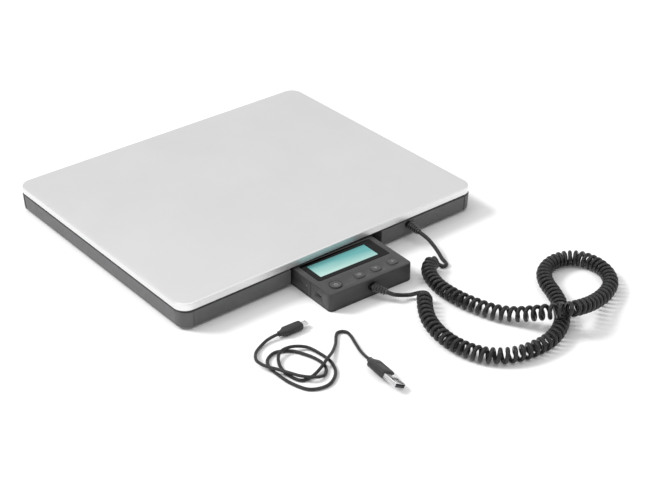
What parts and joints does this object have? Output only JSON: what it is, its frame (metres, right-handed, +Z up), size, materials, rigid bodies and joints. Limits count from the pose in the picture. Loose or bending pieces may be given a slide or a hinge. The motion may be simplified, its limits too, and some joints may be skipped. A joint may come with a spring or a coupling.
{
  "type": "platform shipping scale",
  "caption": "Low platform scale with a steel plate, a display unit that slides out of a front bay on a curly cord, and a loose charging lead.",
  "frame": {"origin": "middle of the footprint of the base and the pulled-out display unit together, on the table", "axes": "+Z up, +X right along the front edge, -Y towards the user, where the bay and the display unit are"},
  "size_m": [0.3967, 0.5664, 0.0341],
  "materials": {
    "brushed_steel_plate": "satin sheet, bright rolled rim",
    "carrier_abs": "moulded",
    "base_abs": "fine moulded texture",
    "display_abs": "fine moulded texture",
    "circuit": "solder-masked board",
    "cord_rubber": "ribbed moulding",
    "cord_sheath": "smooth extruded sheath",
    "smoked_window": "polished dark window",
    "lcd_glass": "lit liquid crystal panel",
    "key_silicone": "moulded mat",
    "key_abs": "moulded caps",
    "battery_foil": "foil pouch",
    "zinc": "plated",
    "led_lens": "clear lens",
    "cell_steel": "stamped",
    "foot_rubber": "moulded pad"
  },
  "bodies": {
    "base": {"platform_plate": "brushed_steel_plate", "support_frame": "carrier_abs", "base_housing": "base_abs", "junction_board": "circuit", "base_cord_boot": "cord_rubber", "inner_cable": "cord_sheath", "cord_clamp": "carrier_abs", "base_lead": "cord_sheath", "curly_coil": "cord_sheath", "display_lead": "cord_sheath", "usb_cable": "cord_sheath", "micro_usb_grip": "cord_rubber", "micro_usb_tip": "zinc", "usb_a_grip": "cord_rubber", "usb_a_shell": "zinc", "load_cell_1": "cell_steel", "cell_wire_1": "cord_sheath", "load_cell_2": "cell_steel", "cell_wire_2": "cord_sheath", "load_cell_3": "cell_steel", "cell_wire_3": "cord_sheath", "load_cell_4": "cell_steel", "cell_wire_4": "cord_sheath", "housing_screw_1": "zinc", "housing_screw_2": "zinc", "housing_screw_3": "zinc", "housing_screw_4": "zinc", "housing_screw_5": "zinc", "housing_screw_6": "zinc"},
    "display_unit": {"display_top_case": "display_abs", "display_bottom_case": "display_abs", "display_window": "smoked_window", "lcd_panel": "lcd_glass", "keypad_mat": "key_silicone", "key_board": "circuit", "display_board": "circuit", "battery_pack": "battery_foil", "usb_socket": "zinc", "charge_led": "led_lens", "display_cord_boot": "cord_rubber", "display_screw_1": "zinc", "display_screw_2": "zinc", "display_screw_3": "zinc", "display_screw_4": "zinc"},
    "foot_1": {"foot_cup_1": "carrier_abs", "foot_pad_1": "foot_rubber"},
    "foot_2": {"foot_cup_2": "carrier_abs", "foot_pad_2": "foot_rubber"},
    "foot_3": {"foot_cup_3": "carrier_abs", "foot_pad_3": "foot_rubber"},
    "foot_4": {"foot_cup_4": "carrier_abs", "foot_pad_4": "foot_rubber"},
    "power_button": {"power_key": "key_abs"},
    "function_button_1": {"function_key_1": "key_abs"},
    "function_button_2": {"function_key_2": "key_abs"},
    "function_button_3": {"function_key_3": "key_abs"}
  },
  "joints": [
    {"name": "display_slide", "type": "slide", "parent": "base", "child": "display_unit", "axis": [0.0401, 0.9992, 0], "range_m": [0, 0.06]},
    {"name": "foot_1_travel", "type": "slide", "parent": "base", "child": "foot_1", "axis": [0, 0, 1], "range_m": [0, 0.0005], "stiffness_N_per_m": 5000, "springref_m": -0.004},
    {"name": "foot_2_travel", "type": "slide", "parent": "base", "child": "foot_2", "axis": [0, 0, 1], "range_m": [0, 0.0005], "stiffness_N_per_m": 5000, "springref_m": -0.004},
    {"name": "foot_3_travel", "type": "slide", "parent": "base", "child": "foot_3", "axis": [0, 0, 1], "range_m": [0, 0.0005], "stiffness_N_per_m": 5000, "springref_m": -0.004},
    {"name": "foot_4_travel", "type": "slide", "parent": "base", "child": "foot_4", "axis": [0, 0, 1], "range_m": [0, 0.0005], "stiffness_N_per_m": 5000, "springref_m": -0.004},
    {"name": "power_button_press", "type": "slide", "parent": "display_unit", "child": "power_button", "axis": [0, 0, -1], "range_m": [0, 0.0008], "stiffness_N_per_m": 200, "springref_m": -0.0005},
    {"name": "function_button_1_press", "type": "slide", "parent": "display_unit", "child": "function_button_1", "axis": [0, 0, -1], "range_m": [0, 0.0008], "stiffness_N_per_m": 200, "springref_m": -0.0005},
    {"name": "function_button_2_press", "type": "slide", "parent": "display_unit", "child": "function_button_2", "axis": [0, 0, -1], "range_m": [0, 0.0008], "stiffness_N_per_m": 200, "springref_m": -0.0005},
    {"name": "function_button_3_press", "type": "slide", "parent": "display_unit", "child": "function_button_3", "axis": [0, 0, -1], "range_m": [0, 0.0008], "stiffness_N_per_m": 200, "springref_m": -0.0005}
  ]
}
